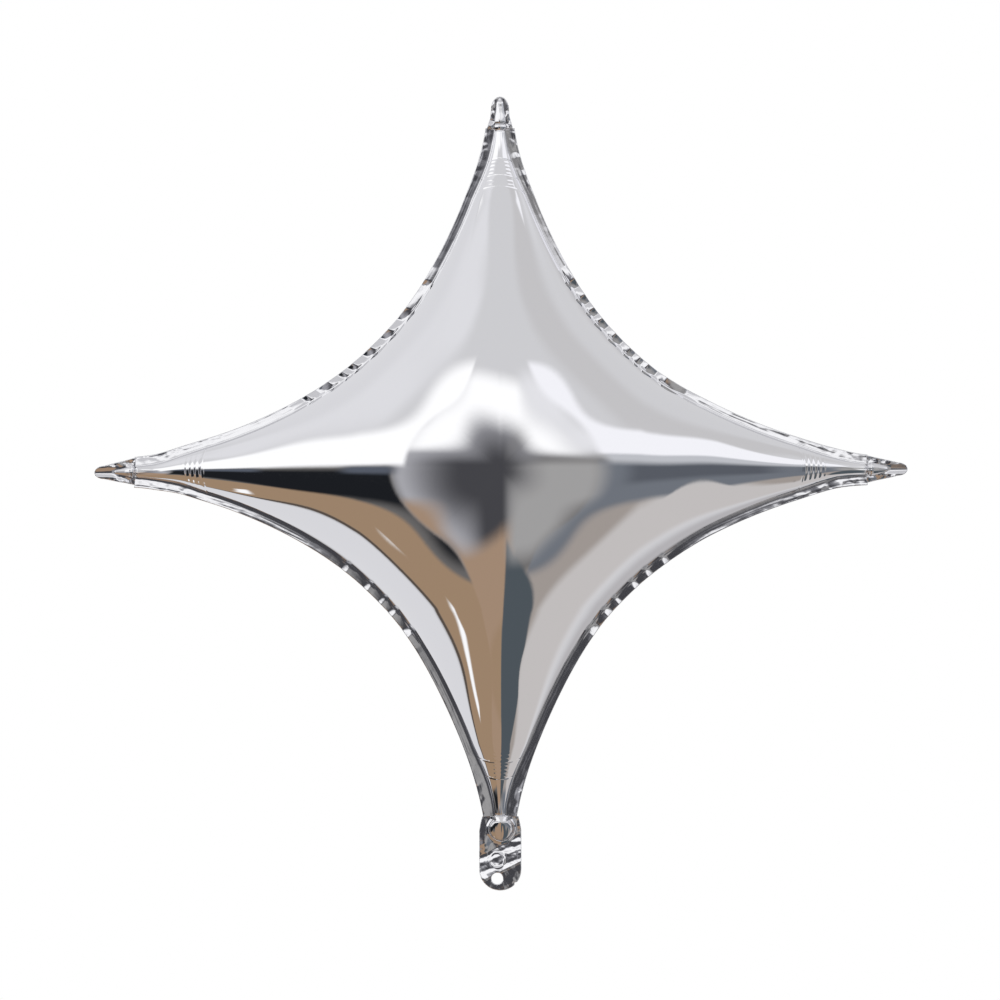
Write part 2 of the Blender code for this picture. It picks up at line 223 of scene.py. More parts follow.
# The star's plan, as the solids have it
star = {
    "middle": (1.8 * mm, 267.2 * mm),
    "weldCentre": (258.4 * mm, 261.0 * mm),
    "weldRadius": {1: 256.7 * mm, -1: 255.3 * mm},  # upper, lower
    "pinch": {"right": 239.5 * mm, "top": 221.9 * mm, "left": 238.2 * mm, "bottom": 226.5 * mm},
    "filmShare": 0.62,  # an arm's width at its pinch, against the plain arcs
    # the same, of the hem's outer edge
    "outerShare": {"right": 0.78, "top": 0.85, "left": 0.78, "bottom": 1.0},
    "taperRun": 48.0 * mm,
    # swelling beyond the plain arcs
    "armSpread": {"right": 0.13, "top": 0.09, "left": 0.08, "bottom": 0.145},
    "spreadFrom": 90.0 * mm,
    "spreadSkew": 1.6,
    # the level arms sag and rise a little: millimetres from the middle, rise
    "sway": [
        (-265.0, -2.3), (-228.0, -1.4), (-205.0, 0.0), (100.0, 0.0), (140.0, 1.2), (215.0, 1.2), (242.0, 0.0),
    ],
    "arms": {"right": (1, 0), "top": (0, 1), "left": (-1, 0), "bottom": (0, -1)},
}


def eased(share):
    share = np.clip(share, 0, 1)
    return share**2 * (3 - 2 * share)


def taper(along, arm, share=star["filmShare"]):
    pinch = star["pinch"][arm]
    reach = np.clip((along - star["spreadFrom"]) / (pinch - star["spreadFrom"]), 0, 1)
    spread = 1 + star["armSpread"][arm] * np.sin(math.pi * reach ** star["spreadSkew"])
    return spread * (1 - (1 - share) * eased((along - pinch) / star["taperRun"] + 1))


def sway(x):
    # how far a level arm lies above the star's middle, at x from that middle
    places, heights = np.array(star["sway"]).T * mm
    x = np.clip(x, places[0], places[-1])
    k = np.clip(np.searchsorted(places, x, side="right") - 1, 0, len(places) - 2)
    return heights[k] + (heights[k + 1] - heights[k]) * eased((x - places[k]) / (places[k + 1] - places[k]))


def weldCorner(up):
    aside, above = star["weldCentre"]
    share = 1 - star["weldRadius"][up] / math.hypot(aside, above)
    return aside * share, above * share


def halfWidth(along, arm, up):
    ahead, aside = star["weldCentre"] if star["arms"][arm][1] == 0 else star["weldCentre"][::-1]
    return aside - np.sqrt(star["weldRadius"][up] ** 2 - (along - ahead) ** 2)


def besideWeld(x, z, side, up):
    # distance from one quadrant's weld, and the run along it from its middle towards the level arm
    aside, above = star["weldCentre"]
    left, right = aside - side * x, above - up * z
    turn = np.arctan2(right, left) - math.atan2(above, aside)
    return np.hypot(left, right) - star["weldRadius"][up], turn * star["weldRadius"][up]


# What the node trees share
def newTree(name, *sockets):
    tree = bpy.data.node_groups.new(name, "GeometryNodeTree")
    tree.interface.new_socket("Geometry", in_out="OUTPUT", socket_type="NodeSocketGeometry")
    tree.interface.new_socket("Geometry", in_out="INPUT", socket_type="NodeSocketGeometry")
    for socket in sockets:
        kind = "NodeSocketMaterial" if socket == "material" else "NodeSocketFloat"
        tree.interface.new_socket(socket, in_out="INPUT", socket_type=kind)
    return tree, addNode(tree, "NodeGroupInput").outputs


def closeTree(tree, shape, given):
    smooth = addNode(tree, "GeometryNodeSetShadeSmooth", shape)
    real = addNode(tree, "GeometryNodeRealizeInstances", smooth)
    dressed = addNode(tree, "GeometryNodeSetMaterial", real, inputs={"Material": given["material"]})
    addNode(tree, "NodeGroupOutput", dressed)


def crumpleNodes(tree, place, cell, steepness, seed):
    # a crumpled sheet's height: the squares of two Voronoi distances, one less the other,
    # leave flat facets that meet in sharp folds
    plan = addNode(tree, "ShaderNodeSeparateXYZ", place)
    scale = addNode(tree, mathNode, 1.0, cell, operation="DIVIDE")
    squares = []
    for shift in (0.0, 0.37):
        flat = addNode(tree, "ShaderNodeCombineXYZ", plan.outputs["X"], plan.outputs["Z"])
        moved = addNode(tree, vectorNode, flat, (seed + shift, seed - shift, 0.0), operation="ADD")
        cells = addNode(tree, "ShaderNodeTexVoronoi", inputs={"Vector": moved, "Scale": scale},
                        voronoi_dimensions="2D")
        squares.append(addNode(tree, mathNode, cells.outputs["Distance"], 2.0, operation="POWER"))
    height = addNode(tree, mathNode, *squares, operation="SUBTRACT")
    height = addNode(tree, mathNode, height, cell, operation="MULTIPLY")
    return addNode(tree, mathNode, height, steepness, operation="MULTIPLY")


def twoSides(tree, sheet, middle, thickness):
    # the sheet's front and back, apart by the thickness, joined where that is nothing
    sides = []
    for facing in (-0.5, 0.5):
        height = addNode(tree, mathNode, thickness, facing, middle, operation="MULTIPLY_ADD")
        lift = addNode(tree, "ShaderNodeCombineXYZ", None, height)
        sides.append(addNode(tree, "GeometryNodeSetPosition", sheet, inputs={"Offset": lift.outputs[0]}))
    sides[1] = addNode(tree, "GeometryNodeFlipFaces", sides[1])
    both = addNode(tree, "GeometryNodeJoinGeometry", sides[0])
    tree.links.new(sides[1].outputs[0], both.inputs[0])
    return addNode(tree, "GeometryNodeMergeByDistance", both, inputs={"Distance": 0.002 * mm})


def attribute(tree, name, kind="FLOAT"):
    node = addNode(tree, "GeometryNodeInputNamedAttribute", inputs={"Name": name}, data_type=kind)
    return node.outputs["Attribute"]


def grown(name, mesh, tree, settings, turned=None):
    # the mesh after its node tree, as a plain mesh object, turned when asked and raised by the level arms'
    # sway
    piece = bpy.data.objects.new(name, mesh)
    bpy.context.scene.collection.objects.link(piece)
    grow = piece.modifiers.new("grow", "NODES")
    grow.node_group = tree
    for socket in tree.interface.items_tree:
        if socket.in_out == "INPUT" and socket.name in settings:
            grow[socket.identifier] = settings[socket.name]
    seen = piece.evaluated_get(bpy.context.evaluated_depsgraph_get())
    plain = bpy.data.meshes.new_from_object(seen)
    plain.name = name
    piece.modifiers.remove(grow)
    piece.data = plain
    bpy.data.meshes.remove(mesh)
    if turned is not None:
        plain.transform(turned)
    places = np.empty(3 * len(plain.vertices), np.float32)
    plain.vertices.foreach_get("co", places)
    places[2::3] += sway(places[0::3] - star["middle"][0])
    plain.vertices.foreach_set("co", places)
    return piece


def pointOutwards(piece):
    shape = bmesh.new()
    shape.from_mesh(piece.data)
    bmesh.ops.recalc_face_normals(shape, faces=shape.faces)
    shape.to_mesh(piece.data)
    shape.free()


def placed(piece, node):
    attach(piece, "root")
    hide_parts(node)
    print(piece.name, len(piece.data.polygons), "faces")


# The hem's crinkle, quadrant by quadrant, shared by the hem and by the film beside it
crinkle = {
    "seam wave": 0.14 * mm,  # how far the weld itself goes to and fro
    "weldShare": 0.45,  # a fold's width at the weld, against the hem's outer edge
    "full width": 6.5,  # a narrower fold is lower, in millimetres
}
quadrants = {
    # side, up: facets that rise towards the level arm, from and to along the weld, in millimetres from its
    # middle; their height at the outer edge, how far they lean that way, and the hem's tilt to the sky
    (1, 1): {
        "facets": [
            (-56, -50), (-43, -37), (-32, -27), (-23, -16), (-9, -2),
            (5, 9.5), (14, 17), (21, 29), (37, 54),
        ],
        "facet height": 1.5 * mm, "slant": 0.4 * mm,
        "tilt": [
            (-210, 0.1), (-120, 0.12), (-100, 0.2), (-66, 0.2),
            (-56, 0.0), (52, 0.0), (64, 0.14), (210, 0.14),
        ],
    },
    (-1, 1): {
        "facets": [(-57, -53), (-34, -24), (-15, -7), (2, 9.5), (18, 23), (27, 31), (39, 49), (56, 60)],
        "facet height": 1.4 * mm, "slant": 2.5 * mm,
        "tilt": [(-210, 0.1), (-120, 0.12), (-70, 0.12), (-56, 0.16), (62, 0.2), (210, 0.24)],
    },
    (1, -1): {
        "facets": [(-35, -27), (-18, -13), (-7, -4), (8, 12), (20, 24), (34, 38)],
        "facet height": 0.9 * mm, "slant": 0.0,
        "tilt": [(-210, 0.14), (-60, 0.12), (-40, 0.05), (40, 0.05), (60, 0.11), (150, 0.12), (210, 0.16)],
    },
    (-1, -1): {
        "facets": [(-36, -30), (-18, -14), (-7, -4), (6, 9.5), (25, 29)],
        "facet height": 0.9 * mm, "slant": 0.0,
        "tilt": [(-210, 0.14), (-50, 0.11), (-40, 0.05), (32, 0.05), (46, 0.12), (150, 0.18), (210, 0.22)],
    },
}


def crest(run, side, up, share=1.0):
    # the crinkle's zigzag from -1 to 1 along the weld, flat beyond its last folds; share narrows the facets
    settings = quadrants[side, up]
    folds, heights = [settings["facets"][0][0] - 10.0], [0.0]
    for first, last in settings["facets"]:
        middle, half = (first + last) / 2, (last - first) / 2 * share
        high = min(1.0, (last - first) / crinkle["full width"])
        folds += [middle - half, middle + half]
        heights += [-high, high]
    folds.append(folds[-1] + 10.0)
    heights.append(0.0)
    return np.interp(run, np.array(folds) * mm, heights)


# Inflated film
film = {
    "alongSteps": 250,
    "acrossSteps": 44,
    "ridgeSpread": 0.35,
    "endRoll": 2.4 * mm,  # the film rolls in at the pinch
    "endShare": 0.35,
    "ringBend": 34.0 * mm,  # the crease rings curve towards the star's middle at their ends
    "rings": {"right": (197.1,), "top": (201.9, 191.0, 183.3), "left": (193.8,), "bottom": (190.8, 201.6)},
    # ripples beside the rings: from, to, their middle aside, their half width, pitch and height
    "ripples": {
        "right": (196.0, 213.0, 0.0, 7.0, 3.2, 0.24),
        "top": (183.0, 203.0, 5.9, 1.6, 2.5, 0.1),
        "left": (192.0, 208.0, 0.0, 6.0, 3.2, 0.22),
        "bottom": (183.0, 203.0, 3.0, 1.6, 2.5, 0.1),
    },
}
filmInputs = {
    "weld centre X": star["weldCentre"][0],
    "weld centre Z": star["weldCentre"][1],
    "weld radius upper": star["weldRadius"][1],
    "weld radius lower": star["weldRadius"][-1],
    "weld pull": 2.8,
    "fullness": 0.28,
    "full at": 107.0 * mm,
    "full in arms": 0.16,
    "star X": star["middle"][0],
    "star Z": star["middle"][1],
    "pucker depth": 0.24 * mm,
    "pucker reach": 3.5 * mm,
    "pleat depth": 0.4 * mm,
    "pleat run": 26.0 * mm,
    "ring depth": 0.24 * mm,
    "ring width": 0.6 * mm,
    "seam wave": crinkle["seam wave"],
    "material": mirrorFilm,
}


def rowShares(count):
    # shares along an arm: rows are closest by the weld's middle and near the tip
    run = np.linspace(0, 1, 4000)
    density = 1 + 0.8 * (run < 0.34) + 2.3 * (run > 0.70)
    total = np.cumsum(density) - density[0]
    return np.interp(np.linspace(0, 1, count + 1), total / total[-1], run)


def armGrid(arm, up):
    # one half of an arm in plan: distances along and aside, before the arm is narrowed
    start = weldCorner(up)[0 if star["arms"][arm][1] == 0 else 1]
    pinch = star["pinch"][arm]
    step = rowShares(film["alongSteps"])[:, None]
    edgeAlong = start + (pinch - start) * step
    edgeAside = halfWidth(edgeAlong, arm, up)
    ridgeAlong = pinch * step * (1 + film["ridgeSpread"] * (1 - step))
    across = np.sin(math.pi / 2 * np.linspace(0, 1, film["acrossSteps"] + 1))[None, :]
    grids = ridgeAlong * (1 - across) + edgeAlong * across, edgeAside * across, across + 0 * edgeAlong
    return [grid.ravel() for grid in grids]


def flatPatch(facing):
    # the film's plan as a fine flat mesh, with what the node tree reads as attributes
    points, faces, axis, told = [], [], [], {}
    columns = film["acrossSteps"] + 1
    for index, (arm, (aheadX, aheadZ)) in enumerate(star["arms"].items()):
        for lateral in (-1, 1):
            side, up = aheadX or -aheadZ * lateral, aheadZ or aheadX * lateral
            along, aside, across = armGrid(arm, up)
            x, z = aheadX * along - aheadZ * aside * lateral, aheadZ * along + aheadX * aside * lateral
            away, run = besideWeld(x, z, side, up)
            toPinch = star["pinch"][arm] - along
            rolled = np.clip(1 - toPinch / film["endRoll"], 0, 1)
            roll = 1 - (1 - film["endShare"]) * (1 - np.sqrt(1 - rolled**2))
            fields = {
                "narrow": taper(along, arm) * roll,
                "from weld": np.maximum(away, 0),
                "ring": along + aside**2 / (2 * film["ringBend"]) + index,  # each arm has its own metre
                "pleat place": across * lateral + 7 * index,
                "to pinch": toPinch,
                "aside": aside,
                "crest": crest(run, side, up, crinkle["weldShare"]),
            }
            for name, values in fields.items():
                told.setdefault(name, []).append(values)
            first = len(axis)
            points.append(np.stack([x, 0 * x, z], 1))
            axis += [(aheadX, 0.0, aheadZ)] * len(x)
            for i in range(film["alongSteps"]):
                for j in range(film["acrossSteps"]):
                    k = first + i * columns + j
                    face = [k, k + columns, k + columns + 1, k + 1]
                    faces.append(face[::-1] if lateral * facing > 0 else face)
    mesh = bpy.data.meshes.new("patch")
    mesh.from_pydata(np.concatenate(points).tolist(), [], faces)
    for name, values in told.items():
        mesh.attributes.new(name, "FLOAT", "POINT").data.foreach_set("value", np.concatenate(values))
    mesh.attributes.new("arm axis", "FLOAT_VECTOR", "POINT").data.foreach_set("vector", np.ravel(axis))
    return mesh


def depthNodes(tree, place, given):
    # half the star's depth: each weld pulls the film flat with a strength that falls with the distance,
    # opposite welds add up, neighbours multiply, and the gas swells the roots of the arms
    pulls = {}
    minusPull = addNode(tree, mathNode, given["weld pull"], -1.0, operation="MULTIPLY")
    for side, up in quadrants:
        centreX = addNode(tree, mathNode, given["weld centre X"], side, operation="MULTIPLY")
        centreZ = addNode(tree, mathNode, given["weld centre Z"], up, operation="MULTIPLY")
        centre = addNode(tree, "ShaderNodeCombineXYZ", centreX, 0.0, centreZ)
        radius = given["weld radius upper" if up > 0 else "weld radius lower"]
        away = addNode(tree, vectorNode, place, centre, operation="DISTANCE").outputs["Value"]
        away = addNode(tree, mathNode, away, radius, operation="SUBTRACT")
        away = addNode(tree, mathNode, away, 1e-7, operation="MAXIMUM")
        pulls[side, up] = addNode(tree, mathNode, away, minusPull, operation="POWER")
    rising = addNode(tree, mathNode, pulls[1, 1], pulls[-1, -1], operation="ADD")
    falling = addNode(tree, mathNode, pulls[-1, 1], pulls[1, -1], operation="ADD")
    both = addNode(tree, mathNode, rising, falling, operation="MULTIPLY")
    root = addNode(tree, mathNode, 0.5, minusPull, operation="DIVIDE")
    lean = addNode(tree, mathNode, both, root, operation="POWER")
    plan = addNode(tree, "ShaderNodeSeparateXYZ", place)
    out = addNode(tree, vectorNode, place, operation="LENGTH").outputs["Value"]
    reach = addNode(tree, mathNode, out, given["full at"], operation="DIVIDE")
    turn = addNode(tree, mathNode, plan.outputs["Z"], plan.outputs["X"], operation="ARCTAN2")
    turn = addNode(tree, mathNode, turn, 4.0, operation="MULTIPLY")
    towards = addNode(tree, mathNode, turn, operation="COSINE")
    towards = addNode(tree, mathNode, towards, given["full in arms"], 1.0, operation="MULTIPLY_ADD")
    square = addNode(tree, mathNode, reach, 2.0, operation="POWER")
    fourth = addNode(tree, mathNode, reach, 4.0, operation="POWER")
    fade = addNode(tree, mathNode, fourth, -0.5, 0.5, operation="MULTIPLY_ADD")
    fade = addNode(tree, mathNode, fade, operation="EXPONENT")
    swell = addNode(tree, mathNode, given["fullness"], towards, operation="MULTIPLY")
    swell = addNode(tree, mathNode, swell, square, operation="MULTIPLY")
    swell = addNode(tree, mathNode, swell, fade, 1.0, operation="MULTIPLY_ADD")
    return addNode(tree, mathNode, lean, swell, operation="MULTIPLY")


def fadeNodes(tree, distance, reach):
    # 1 at nothing, falling by e for each reach
    share = addNode(tree, mathNode, distance, reach, operation="DIVIDE")
    share = addNode(tree, mathNode, share, -1.0, operation="MULTIPLY")
    return addNode(tree, mathNode, share, operation="EXPONENT")


def bellNodes(tree, value, middle, width):
    # 1 at the middle, falling to nothing on both sides
    off = addNode(tree, mathNode, value, middle, operation="SUBTRACT")
    off = addNode(tree, mathNode, off, width, operation="DIVIDE")
    square = addNode(tree, mathNode, off, off, operation="MULTIPLY")
    square = addNode(tree, mathNode, square, -1.0, operation="MULTIPLY")
    return addNode(tree, mathNode, square, operation="EXPONENT")


def dentNodes(tree, folds, given):
    # how far the film stands out along its normal: puckers, pleats, crease rings and ripples
    away = attribute(tree, "from weld")
    inner = fadeNodes(tree, away, given["pucker reach"])
    atWeld = fadeNodes(tree, away, 0.5 * mm)
    inner = addNode(tree, mathNode, inner, atWeld, operation="SUBTRACT")
    pucker = addNode(tree, mathNode, folds, given["pucker depth"], operation="MULTIPLY")
    dent = addNode(tree, mathNode, pucker, inner, operation="MULTIPLY")

    pleat = addNode(tree, "ShaderNodeTexVoronoi", inputs={"W": attribute(tree, "pleat place"), "Scale": 3.2},
                    voronoi_dimensions="1D", feature="DISTANCE_TO_EDGE")
    near = addNode(tree, mapNode, attribute(tree, "to pinch"), 0.0, given["pleat run"], 1.0, 0.0)
    near = addNode(tree, mathNode, near, near, operation="MULTIPLY")
    pleat = addNode(tree, mathNode, pleat, given["pleat depth"], operation="MULTIPLY")
    dent = addNode(tree, mathNode, pleat, near, dent, operation="MULTIPLY_ADD")

    ring = attribute(tree, "ring")
    aside = attribute(tree, "aside")
    for index, arm in enumerate(star["arms"]):
        for distance in film["rings"][arm]:
            off = addNode(tree, mathNode, ring, distance * mm + index, operation="SUBTRACT")
            off = addNode(tree, mathNode, off, operation="ABSOLUTE")
            groove = addNode(tree, mapNode, off, 0.0, given["ring width"], -1.0, 0.0)
            dent = addNode(tree, mathNode, groove, given["ring depth"], dent, operation="MULTIPLY_ADD")
        first, last, middle, width, pitch, height = film["ripples"][arm]
        begins = addNode(tree, mapNode, ring, first * mm + index, (first + 2) * mm + index, 0.0, 1.0)
        ends = addNode(tree, mapNode, ring, (last - 5) * mm + index, last * mm + index, 1.0, 0.0)
        strength = addNode(tree, mathNode, begins, ends, operation="MULTIPLY")
        beside = bellNodes(tree, aside, middle * mm, width * mm)
        strength = addNode(tree, mathNode, strength, beside, operation="MULTIPLY")
        strength = addNode(tree, mathNode, strength, height * mm, operation="MULTIPLY")
        turns = addNode(tree, mathNode, ring, first * mm + index, operation="SUBTRACT")
        turns = addNode(tree, mathNode, turns, 2 * math.pi / (pitch * mm), operation="MULTIPLY")
        wave = addNode(tree, mathNode, turns, operation="SINE")
        dent = addNode(tree, mathNode, wave, strength, dent, operation="MULTIPLY_ADD")
    return dent


def filmTree():
    tree, given = newTree("inflated film", *filmInputs, "facing")
    place = addNode(tree, "GeometryNodeInputPosition")
    depth = depthNodes(tree, place, given)
    narrow = attribute(tree, "narrow")
    depth = addNode(tree, mathNode, depth, narrow, operation="MULTIPLY")
    folds = attribute(tree, "crest")
    atSeam = fadeNodes(tree, attribute(tree, "from weld"), 2.0 * mm)
    seam = addNode(tree, mathNode, folds, given["seam wave"], operation="MULTIPLY")
    seam = addNode(tree, mathNode, seam, atSeam, operation="MULTIPLY")
    depth = addNode(tree, mathNode, depth, given["facing"], seam, operation="MULTIPLY_ADD")
    along = addNode(tree, vectorNode, place, attribute(tree, "arm axis", "FLOAT_VECTOR"), operation="PROJECT")
    aside = addNode(tree, vectorNode, place, along, operation="SUBTRACT")
    aside = addNode(tree, vectorNode, aside, inputs={"Scale": narrow}, operation="SCALE")
    flat = addNode(tree, vectorNode, along, aside, operation="ADD")
    lifted = addNode(tree, "ShaderNodeCombineXYZ", given["star X"], depth, given["star Z"])
    final = addNode(tree, vectorNode, flat, lifted, operation="ADD")
    merged = addNode(tree, "GeometryNodeMergeByDistance", given["Geometry"], inputs={"Distance": 0.01 * mm})
    domed = addNode(tree, "GeometryNodeSetPosition", merged, inputs={"Position": final})
    normal = addNode(tree, "GeometryNodeInputNormal")
    dent = dentNodes(tree, folds, given)
    dent = addNode(tree, vectorNode, normal, inputs={"Scale": dent}, operation="SCALE")
    dented = addNode(tree, "GeometryNodeSetPosition", domed, inputs={"Offset": dent})
    closeTree(tree, dented, given)
    return tree


tree = filmTree()
for facing, node in ((-1.0, "envelope_front"), (1.0, "envelope_back")):
    half = grown(f"film_{node}", flatPatch(facing), tree, {**filmInputs, "facing": facing})
    placed(half, node)

# Hem: the welded margin, in facets by the weld's middle and in long streaks towards the tips
hem = {
    "width": 5.5,  # millimetres, beyond the weld
    "hidden": 0.7,  # how far it reaches inside the film
    "steps": 260,  # along each arm
    "rows across": 20,
    "band width": 1.0,  # the sealing jaw's bright line, and its slope to the sky
    "band slope": 0.3,
    "lower band share": 0.15,
    "facets from": (0.8, 1.4),  # they open between these distances from the weld
    "facet share": (0.35, 0.65),  # their height there, and what they gain towards the outer edge
    "streaks from": (35, 70),  # along the weld
}
hemInputs = {
    "hidden": hem["hidden"] * mm,
    "spacing": 0.55 * mm,
    "seam wave": crinkle["seam wave"],
    "streak length": 34.0 * mm,
    "streak width": 2.0 * mm,
    "streak height": 0.42 * mm,
    "edge ripple": 0.12 * mm,
    "ripple pitch": 6.0 * mm,
    "crumple cell": 6.0 * mm,
    "crumple steepness": 0.09,
    "thickness": 0.12 * mm,
    "material": hemFilm,
}


def weldPath(side, up):
    # the weld from the upright arm's pinch to the level arm's, with what the hem's tree reads along it
    ends = []
    for arm in ("top" if up > 0 else "bottom", "right" if side > 0 else "left"):
        level = star["arms"][arm][1] == 0
        along = np.linspace(weldCorner(up)[0 if level else 1], star["pinch"][arm], hem["steps"])
        plain = halfWidth(along, arm, up)
        aside = plain * taper(along, arm)
        width = hem["width"] * mm + plain * taper(along, arm, star["outerShare"][arm]) - aside
        place = (side * along, up * plain) if level else (side * plain, up * along)
        _away, run = besideWeld(*place, side, up)
        ends.append([along, aside, width, run] if level else [aside, along, width, run])
    x, z, width, run = np.concatenate([np.array(ends[0])[:, ::-1], np.array(ends[1])[:, 1:]], 1)
    places, tilts = np.array(quadrants[side, up]["tilt"]).T
    told = {
        "form": (run, width, up * np.interp(run, places * mm, tilts)),
        "folds": (crest(run, side, up), crest(run, side, up, crinkle["weldShare"]), 0 * run),
    }
    points = np.stack([star["middle"][0] + side * x, 0 * x, star["middle"][1] + up * z], 1)
    mesh = bpy.data.meshes.new("weld")
    mesh.from_pydata(points.tolist(), [(i, i + 1) for i in range(len(points) - 1)], [])
    for name, values in told.items():
        field = mesh.attributes.new(name, "FLOAT_VECTOR", "POINT")
        field.data.foreach_set("vector", np.stack(values, 1).ravel())
    return mesh


def alongPath(tree, path, name, distance):
    # a vector attribute of the path, and the path's place and direction, at a distance along it
    value = attribute(tree, name, "FLOAT_VECTOR")
    sample = addNode(tree, "GeometryNodeSampleCurve", inputs={"Curves": path, "Length": distance},
                     mode="LENGTH", data_type="FLOAT_VECTOR")
    vectorInput = next(i for i in sample.inputs if i.name == "Value" and i.enabled)
    tree.links.new(value, vectorInput)
    vectorOutput = next(o for o in sample.outputs if o.name == "Value" and o.enabled)
    return sample.outputs, addNode(tree, "ShaderNodeSeparateXYZ", vectorOutput).outputs


def hemTree():
    tree, given = newTree("hem", *hemInputs, "outwards", "facet height", "slant", "band slope",
                          "place in noise")
    path = addNode(tree, "GeometryNodeMeshToCurve", given["Geometry"])
    length = addNode(tree, "GeometryNodeCurveLength", path)
    rows = addNode(tree, mathNode, length, given["spacing"], operation="DIVIDE")
    grid = addNode(tree, "GeometryNodeMeshGrid", 1.0, 1.0, rows, hem["rows across"])
    share = addNode(tree, "ShaderNodeSeparateXYZ", grid.outputs["UV Map"])
    distance = addNode(tree, mathNode, share.outputs["X"], length, operation="MULTIPLY")
    sample, form = alongPath(tree, path, "form", distance)
    run, width, tilt = form
    out = addNode(tree, vectorNode, sample["Tangent"], (0.0, 1.0, 0.0), operation="CROSS_PRODUCT")
    out = addNode(tree, vectorNode, out, inputs={"Scale": given["outwards"]}, operation="SCALE")
    whole = addNode(tree, mathNode, width, given["hidden"], operation="ADD")
    beyond = addNode(tree, mathNode, share.outputs["Y"], whole, operation="MULTIPLY")
    beyond = addNode(tree, mathNode, beyond, given["hidden"], operation="SUBTRACT")
    q = addNode(tree, mathNode, beyond, width, operation="DIVIDE")
    q = addNode(tree, mathNode, q, 0.0, operation="MAXIMUM")

    # facets: the folds are wide at the outer edge and narrow at the weld
    slanted = addNode(tree, mathNode, given["slant"], q, distance, operation="MULTIPLY_ADD")
    _sample, folds = alongPath(tree, path, "folds", slanted)
    outer = addNode(tree, mathNode, folds["X"], given["facet height"], operation="MULTIPLY")
    begin, full = hem["facets from"]
    atOpening, gained = hem["facet share"]
    opened = addNode(tree, mapNode, beyond, begin * mm, full * mm, 0.0, atOpening)
    spread = addNode(tree, mapNode, q, 0.2, 1.0, 0.0, gained)
    opened = addNode(tree, mathNode, opened, spread, operation="ADD")
    outer = addNode(tree, mathNode, outer, opened, operation="MULTIPLY")
    left = addNode(tree, mathNode, 1.0, q, operation="SUBTRACT")
    inner = addNode(tree, mathNode, folds["Y"], given["seam wave"], operation="MULTIPLY")
    height = addNode(tree, mathNode, inner, left, outer, operation="MULTIPLY_ADD")

    # the bright line beside the weld, then the hem's own tilt
    bandTo = hem["band width"] * mm
    within = addNode(tree, mathNode, beyond, bandTo, operation="MINIMUM")
    within = addNode(tree, mathNode, within, 0.0, operation="MAXIMUM")
    height = addNode(tree, mathNode, within, given["band slope"], height, operation="MULTIPLY_ADD")
    past = addNode(tree, mathNode, beyond, bandTo, operation="SUBTRACT")
    past = addNode(tree, mathNode, past, 0.0, operation="MAXIMUM")
    height = addNode(tree, mathNode, past, tilt, height, operation="MULTIPLY_ADD")

    # streaks along the run where there are no facets
    far = addNode(tree, mathNode, run, operation="ABSOLUTE")
    streakPlace = addNode(tree, "ShaderNodeCombineXYZ",
                          addNode(tree, mathNode, run, given["streak length"], operation="DIVIDE"),
                          addNode(tree, mathNode, beyond, given["streak width"], operation="DIVIDE"),
                          given["place in noise"])
    streak = addNode(tree, noiseNode, inputs={"Vector": streakPlace, "Scale": 1.0, "Detail": 1.0})
    streak = addNode(tree, mathNode, streak, -0.5, operation="ADD")
    streak = addNode(tree, mathNode, streak, given["streak height"], operation="MULTIPLY")
    loose = addNode(tree, mapNode, far, *(mm * place for place in hem["streaks from"]), 0.2, 1.0)
    loose = addNode(tree, mathNode, loose, q, operation="MULTIPLY")
    height = addNode(tree, mathNode, streak, loose, height, operation="MULTIPLY_ADD")

    wave = addNode(tree, mathNode, run, given["ripple pitch"], operation="DIVIDE")
    wave = addNode(tree, mathNode, wave, given["place in noise"], operation="ADD")
    wave = addNode(tree, noiseNode, inputs={"W": wave, "Scale": 1.0, "Detail": 0.0}, noise_dimensions="1D")
    wave = addNode(tree, mathNode, wave, -0.5, operation="ADD")
    cube = addNode(tree, mathNode, q, 4.0, operation="POWER")
    wave = addNode(tree, mathNode, wave, cube, operation="MULTIPLY")
    wave = addNode(tree, mathNode, wave, given["edge ripple"], operation="MULTIPLY")
    height = addNode(tree, mathNode, wave, addNode(tree, mapNode, far, 55 * mm, 75 * mm, 0.0, 1.0), height,
                     operation="MULTIPLY_ADD")

    reach = addNode(tree, vectorNode, out, inputs={"Scale": beyond}, operation="SCALE")
    place = addNode(tree, vectorNode, sample["Position"], reach, operation="ADD")
    crumple = crumpleNodes(tree, place, given["crumple cell"], given["crumple steepness"], 0.0)
    atTips = addNode(tree, mapNode, far, 110 * mm, 160 * mm, 0.15, 1.0)
    crumple = addNode(tree, mathNode, crumple, q, operation="MULTIPLY")
    height = addNode(tree, mathNode, crumple, atTips, height, operation="MULTIPLY_ADD")

    thick = given["thickness"]
    for side in ("X", "Y"):
        left = addNode(tree, mathNode, 1.0, share.outputs[side], operation="SUBTRACT")
        rim = addNode(tree, mathNode, share.outputs[side], left, operation="MULTIPLY")
        inside = addNode(tree, mathNode, rim, 1e-6, operation="GREATER_THAN")
        thick = addNode(tree, mathNode, thick, inside, operation="MULTIPLY")
    laid = addNode(tree, "GeometryNodeSetPosition", grid.outputs["Mesh"], inputs={"Position": place})
    closeTree(tree, twoSides(tree, laid, height, thick), given)
    return tree


tree = hemTree()
for (side, up), settings in quadrants.items():
    node = f"hem_{'upper' if up > 0 else 'lower'}_{'right' if side > 0 else 'left'}"
    strip = grown(f"welded_{node}", weldPath(side, up), tree, {
        **hemInputs, "outwards": float(side * up), "facet height": settings["facet height"],
        "slant": -settings["slant"],
        "band slope": hem["band slope"] * (1.0 if up > 0 else hem["lower band share"]),
        "place in noise": 3.0 * up + side})
    pointOutwards(strip)
    placed(strip, node)


